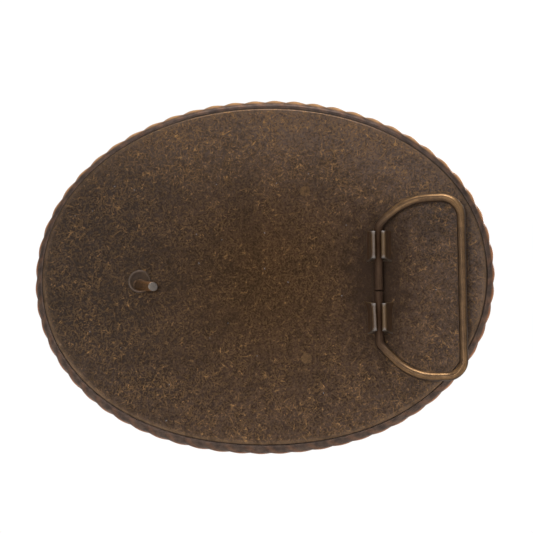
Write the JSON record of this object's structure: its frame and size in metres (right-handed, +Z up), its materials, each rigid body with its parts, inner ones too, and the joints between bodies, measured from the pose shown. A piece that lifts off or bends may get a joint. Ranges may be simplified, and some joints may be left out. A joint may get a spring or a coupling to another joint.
{
  "type": "belt buckle",
  "caption": "Oval western belt buckle: bowed plate with a twisted rope edge, a hinged wire bail that takes the strap, and a leaning hook for the punched end.",
  "frame": {"origin": "centre of the oval in X and Z, half way through the buckle's depth in Y with the bail at rest", "axes": "+Z up as the buckle is worn, X along the belt with the bail on the -X side and the hook on the +X side, +Y towards the wearer (the back)"},
  "size_m": [0.1046, 0.011, 0.0808],
  "materials": {
    "plate_brass": "antique, tumbled, dark patina",
    "rope_brass": "antique, worn on the crests",
    "face_brass": "antique, satin",
    "medallion_brass": "antique, relieved on the high spots",
    "rivet_brass": "antique, peened flush",
    "lug_brass": "antique, worn silvery on the ears' tops",
    "wire_brass": "antique drawn wire",
    "hook_brass": "antique, worn silvery on the tip"
  },
  "bodies": {
    "buckle": {"back_plate": "plate_brass", "rope_edge": "rope_brass", "face_plate": "face_brass", "front_medallion": "medallion_brass", "medallion_rivets": "rivet_brass", "hinge_lug_upper": "lug_brass", "hinge_lug_lower": "lug_brass", "hook_prong": "hook_brass"},
    "bail": {"bail_loop": "wire_brass"}
  },
  "joints": [
    {"name": "bail_hinge", "type": "hinge", "parent": "buckle", "child": "bail", "pos_m": [-0.02661, 0.00168, -0.00375], "axis": [0, 0, -1], "range_deg": [-9, 175]}
  ]
}
